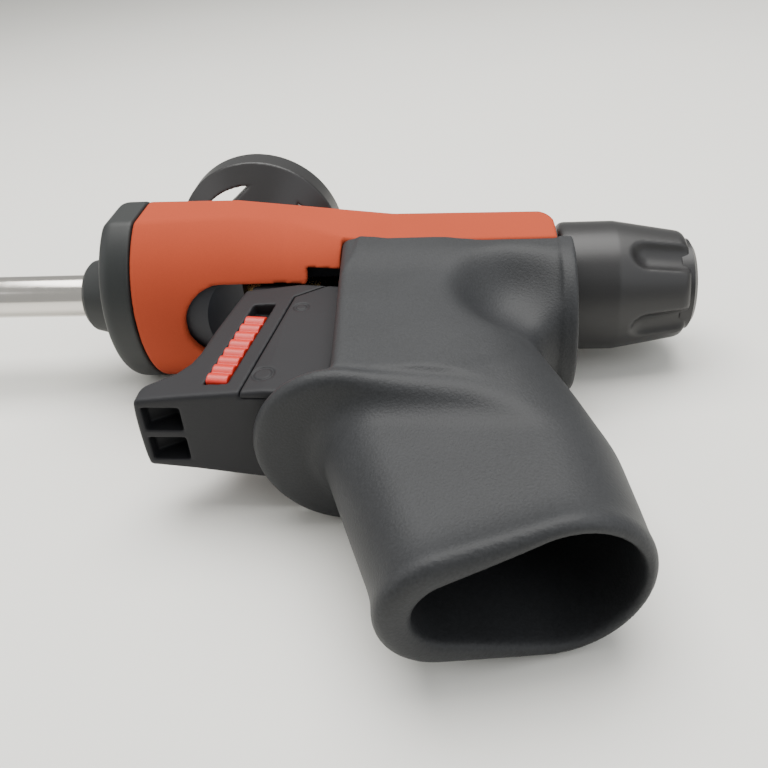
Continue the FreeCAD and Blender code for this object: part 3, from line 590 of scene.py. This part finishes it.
def add_scaled(nodes, links, source, factor, operation):
    """A socket's value times a factor. MULTIPLY_ADD leaves its third input to be linked."""
    scaled = nodes.new("ShaderNodeMath")
    scaled.operation = operation
    scaled.inputs[1].default_value = factor
    links.new(source, scaled.inputs[0])
    return scaled


def add_gloss(nodes, links, shader, source, low, high):
    """Let the roughness run from low to high with a socket's value."""
    gloss = nodes.new("ShaderNodeMapRange")
    gloss.inputs["To Min"].default_value = low
    gloss.inputs["To Max"].default_value = high
    links.new(source, gloss.inputs["Value"])
    links.new(gloss.outputs["Result"], shader.inputs["Roughness"])


def add_bump(nodes, links, shader, source, strength, distance):
    """Raise the surface with a socket's value."""
    bump = nodes.new("ShaderNodeBump")
    bump.inputs["Strength"].default_value = strength
    bump.inputs["Distance"].default_value = distance
    links.new(source, bump.inputs["Height"])
    links.new(bump.outputs["Normal"], shader.inputs["Normal"])


def plastic(name, colour, roughness, grain=3200.0, grain_height=0.00002, spread=0.10, specular=0.45):
    """Moulded plastic: a fine eroded grain, slight shade changes and patches of wear in its gloss."""
    material, nodes, links, shader = new_material(name)
    place = nodes.new("ShaderNodeTexCoord").outputs["Object"]
    patches = add_noise(nodes, links, place, 45.0, 4.0)
    fine = add_noise(nodes, links, place, grain, 3.0)
    tone = nodes.new("ShaderNodeValToRGB")
    tone.color_ramp.elements[0].color = [c * (1 - spread) for c in colour] + [1]
    tone.color_ramp.elements[0].position = 0.35
    tone.color_ramp.elements[1].color = [min(1, c * (1 + spread)) for c in colour] + [1]
    tone.color_ramp.elements[1].position = 0.7
    mixed = add_scaled(nodes, links, fine, 0.6, "MULTIPLY_ADD")
    shift = add_scaled(nodes, links, patches, 0.4, "MULTIPLY")
    links.new(shift.outputs["Value"], mixed.inputs[2])
    links.new(mixed.outputs["Value"], tone.inputs["Fac"])
    links.new(tone.outputs["Color"], shader.inputs["Base Color"])
    add_gloss(nodes, links, shader, mixed.outputs["Value"], roughness - 0.07, roughness + 0.07)
    add_bump(nodes, links, shader, fine, 0.5, grain_height)
    shader.inputs["Specular IOR Level"].default_value = specular
    return material


def metal(name, colour, roughness, stretch=(1.0, 1.0, 1.0), scale=900.0, height=0.000004):
    """Turned, drawn or polished metal with a directional finish."""
    material, nodes, links, shader = new_material(name)
    place = nodes.new("ShaderNodeTexCoord").outputs["Object"]
    squeeze = nodes.new("ShaderNodeMapping")
    squeeze.inputs["Scale"].default_value = stretch
    links.new(place, squeeze.inputs["Vector"])
    finish = add_noise(nodes, links, squeeze.outputs["Vector"], scale, 4.0)
    add_gloss(nodes, links, shader, finish, max(0.03, roughness - 0.06), roughness + 0.08)
    add_bump(nodes, links, shader, finish, 0.3, height)
    shader.inputs["Metallic"].default_value = 1.0
    shader.inputs["Base Color"].default_value = colour + (1.0,)
    return material


MATERIALS = {
    "grey_plastic": plastic("grey_plastic", (0.022, 0.023, 0.025), 0.54, 1900.0, 0.00016, 0.26, 0.30),
    "orange_plastic": plastic("orange_plastic", (0.39, 0.062, 0.028), 0.72, 3000.0, 0.00002, 0.05, 0.06),
    "black_plastic": plastic("black_plastic", (0.012, 0.0115, 0.012), 0.40, 3000.0, 0.00002, 0.12),
    "collar_plastic": plastic("collar_plastic", (0.016, 0.018, 0.018), 0.50, 3000.0, 0.00002, 0.10, 0.35),
    "trigger_plastic": plastic("trigger_plastic", (0.016, 0.016, 0.018), 0.54, 2600.0, 0.00003, 0.12, 0.22),
    "frame_plastic": plastic("frame_plastic", (0.018, 0.019, 0.025), 0.55, 2600.0, 0.00003, 0.12),
    "red_plastic": plastic("red_plastic", (0.55, 0.022, 0.012), 0.36, 2600.0, 0.00001, 0.05, 0.5),
    "steel_tube": metal("steel_tube", (0.66, 0.63, 0.59), 0.16, (1.0, 0.04, 0.04), 500.0),
    "steel": metal("steel", (0.56, 0.56, 0.56), 0.28),
    "brass": metal("brass", (0.62, 0.45, 0.20), 0.26, (6.0, 1.0, 1.0)),
    "spring_steel": metal("spring_steel", (0.50, 0.50, 0.50), 0.30),
    "screw_steel": metal("screw_steel", (0.45, 0.45, 0.46), 0.33),
    "seal_rubber": plastic("seal_rubber", (0.018, 0.018, 0.018), 0.75, 1800.0, 0.00002, 0.1, 0.3),
}


def finish_piece(piece, material, body, replaced):
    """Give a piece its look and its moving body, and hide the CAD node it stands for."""
    piece.data.materials.clear()
    piece.data.materials.append(MATERIALS[material])
    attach(piece, body)
    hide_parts(replaced)


def paint_cad_nodes():
    """Every carried-over CAD node gets the procedural finish of its record slot."""
    slots = {part["node"]: part["material_slot"] for part in frame["record"]["subparts"]}
    for name, node in frame["nodes"].items():
        for index in range(max(1, len(node.material_slots))):
            if not node.material_slots:
                node.data.materials.append(MATERIALS[slots[name]])
            else:
                node.material_slots[index].material = MATERIALS[slots[name]]


# ---------------------------------------------------------------- pieces

TUBE_PROFILE = [(-201.0, 4.0), (-201.0, 6.0), (-11.0, 6.0), (-11.0, 4.0)]
NOSE_PROFILE = [(-29.2, 6.1), (-43.0, 6.1), (-43.0, 7.5), (-42.4, 8.9), (-41.3, 10.0), (-38.5, 10.7),
                (-35.5, 11.4), (-33.0, 12.1), (-29.2, 12.1)]


def node_box(node):
    """The corners of a CAD node's box, with room for its skin."""
    grow = 0.6
    low = [span(node, axis)[0] - grow for axis in range(3)]
    high = [span(node, axis)[1] + grow for axis in range(3)]
    return low, high


def make_pieces():
    """Every visible part that the scene draws afresh, in place of its CAD node."""
    jobs = [
        # piece, shape, CAD node, grid step, material, body, record slot
        ("handle_moulding", handle_shape, "handle", 0.6, "grey_plastic", "housing", "grey_plastic"),
        ("shell_moulding", shell_shape, "body_shell", 0.62, "orange_plastic", "housing", "orange_plastic"),
        ("collar_moulding", collar_shape, "front_collar", 0.5, "collar_plastic", "housing", "black_plastic"),
        ("trigger_moulding", trigger_shape, "trigger", 0.33, "trigger_plastic", "trigger", "trigger_plastic"),
        ("trigger_side_cover", cover_shape, "trigger_cover", 0.25, "trigger_plastic", "trigger",
         "trigger_plastic"),
        ("lock_slider_ribbed", slider_shape, "lock_slider", 0.16, "red_plastic", "lock_slider",
         "red_plastic"),
        ("knob_fluted", knob_shape, "knob", 0.45, "black_plastic", "knob", "black_plastic"),
        ("can_socket", basket_shape, "can_basket", 0.45, "black_plastic", "housing", "black_plastic"),
    ]
    for name, shape, node, step, material, body, slot in jobs:
        low, high = node_box(node)
        piece = shape_to_mesh(name, shape, low, high, step)
        finish_piece(piece, material, body, node)
    tube = lathe("barrel_polished", TUBE_PROFILE)
    finish_piece(tube, "steel_tube", "housing", "barrel_tube")
    nose = lathe("nose_ring_moulded", NOSE_PROFILE)
    finish_piece(nose, "collar_plastic", "housing", "nose_ring")
    make_springs()


def make_springs():
    """Both springs as coils in their CAD nodes' boxes; the end that stays put is found, but nothing squashes
    them.
    """
    jobs = [
        # piece, CAD node, joint, axis, wire radius, turns, fixed end, stroke
        ("return_spring_coil", "return_spring", "needle_slide", 0, 0.7, 8, 1, 2.72),
        ("ball_spring_coil", "ball_spring", "inlet_ball_lift", 1, 0.45, 5, 0, 1.5),
    ]
    for name, node, joint, axis, wire, turns, fixed, stroke in jobs:
        spring = coil(name, node, axis, wire, turns)
        finish_piece(spring, "spring_steel", "housing", node)
        ends = span(node, axis)
        anchor, direction = [0.0, 0.0, 0.0], [0.0, 0.0, 0.0]
        anchor[axis], direction[axis] = ends[fixed], 1.0
        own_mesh(spring)


# ---------------------------------------------------------------- stage, lights and camera

CAMERA = {"turn": math.radians(-7.41), "pitch": math.radians(35.0), "roll": math.radians(-4.77),
          "distance": 241.9, "side": 39.17, "rise": -29.37, "focal": 850.0}
FRAME_WIDTH = 768  # the picture's width, in the unit of the focal length
SENSOR = 36.0
RESTS = ((-28.0, 0.0, -25.1), (0.0, 38.0, -25.5), (81.0, -109.0, -17.2))
TABLE_REACH = 4000


def make_camera():
    """The camera that was fitted to the photo."""
    turn, pitch, roll = CAMERA["turn"], CAMERA["pitch"], CAMERA["roll"]
    right = Vector((math.cos(turn), -math.sin(turn), 0))
    forward = Vector((math.sin(turn) * math.cos(pitch), math.cos(turn) * math.cos(pitch), -math.sin(pitch)))
    up = right.cross(forward)
    place = right * CAMERA["side"] + up * CAMERA["rise"] - forward * CAMERA["distance"]
    rolled_right = right * math.cos(roll) + up * math.sin(roll)
    rolled_up = up * math.cos(roll) - right * math.sin(roll)
    data = bpy.data.cameras.new("camera")
    data.sensor_width = SENSOR
    data.lens = SENSOR * CAMERA["focal"] / FRAME_WIDTH
    data.clip_start = 0.01
    camera = bpy.data.objects.new("camera", data)
    bpy.context.scene.collection.objects.link(camera)
    rotation = Matrix((rolled_right, rolled_up, -forward)).transposed()
    camera.matrix_world = Matrix.Translation(to_row(place)) @ rotation.to_4x4()
    bpy.context.scene.camera = camera


def make_floor():
    """The table, through the three points that the lying gun rests on."""
    rests = [Vector(point) for point in RESTS]
    normal = (rests[1] - rests[0]).cross(rests[2] - rests[0]).normalized()
    if normal.z < 0:
        normal.negate()
    along = Vector((1, 0, 0))
    along = (along - normal * along.dot(normal)).normalized()
    across = normal.cross(along)
    corners = []
    for u, v in ((-1, -1), (1, -1), (1, 1), (-1, 1)):
        corners.append(to_row(rests[0] + along * (u * TABLE_REACH) + across * (v * TABLE_REACH)))
    floor = make_object("table", corners, [(0, 1, 2, 3)])
    material, nodes, links, shader = new_material("table_top")
    place = nodes.new("ShaderNodeTexCoord").outputs["Object"]
    noise = add_noise(nodes, links, place, 6.0, 3.0)
    tone = nodes.new("ShaderNodeValToRGB")
    tone.color_ramp.elements[0].color = (0.80, 0.79, 0.745, 1)
    tone.color_ramp.elements[1].color = (0.85, 0.84, 0.795, 1)
    links.new(noise, tone.inputs["Fac"])
    links.new(tone.outputs["Color"], shader.inputs["Base Color"])
    shader.inputs["Roughness"].default_value = 0.6
    floor.data.materials.append(material)


def add_light(name, place, aim, size, power, colour=(1, 1, 1)):
    """A rectangular light at one point of the gun's axes, aimed at another."""
    data = bpy.data.lights.new(name, "AREA")
    data.shape = "RECTANGLE"
    data.size, data.size_y = size
    data.energy = power
    data.color = colour
    light = bpy.data.objects.new(name, data)
    bpy.context.scene.collection.objects.link(light)
    light.location = to_row(place)
    light.rotation_euler = (to_row(aim) - to_row(place)).to_track_quat("-Z", "Y").to_euler()


def make_lights():
    """A bright room, a large window overhead and two weak fills."""
    world = bpy.data.worlds.new("studio")
    world.use_nodes = True
    world.node_tree.nodes["Background"].inputs["Color"].default_value = (0.80, 0.81, 0.79, 1)
    world.node_tree.nodes["Background"].inputs["Strength"].default_value = 0.68
    bpy.context.scene.world = world
    add_light("window", (0, 190, 700), (20, -10, 0), (0.9, 0.6), 12.5, (1.0, 0.99, 0.97))
    add_light("fill", (500, -260, 420), (40, -40, 0), (0.7, 0.5), 1.9, (0.95, 0.97, 1.0))
    add_light("side", (-520, -120, 260), (0, -20, 0), (0.5, 0.4), 1.0)


make_camera()
make_floor()
make_lights()
paint_cad_nodes()
make_pieces()
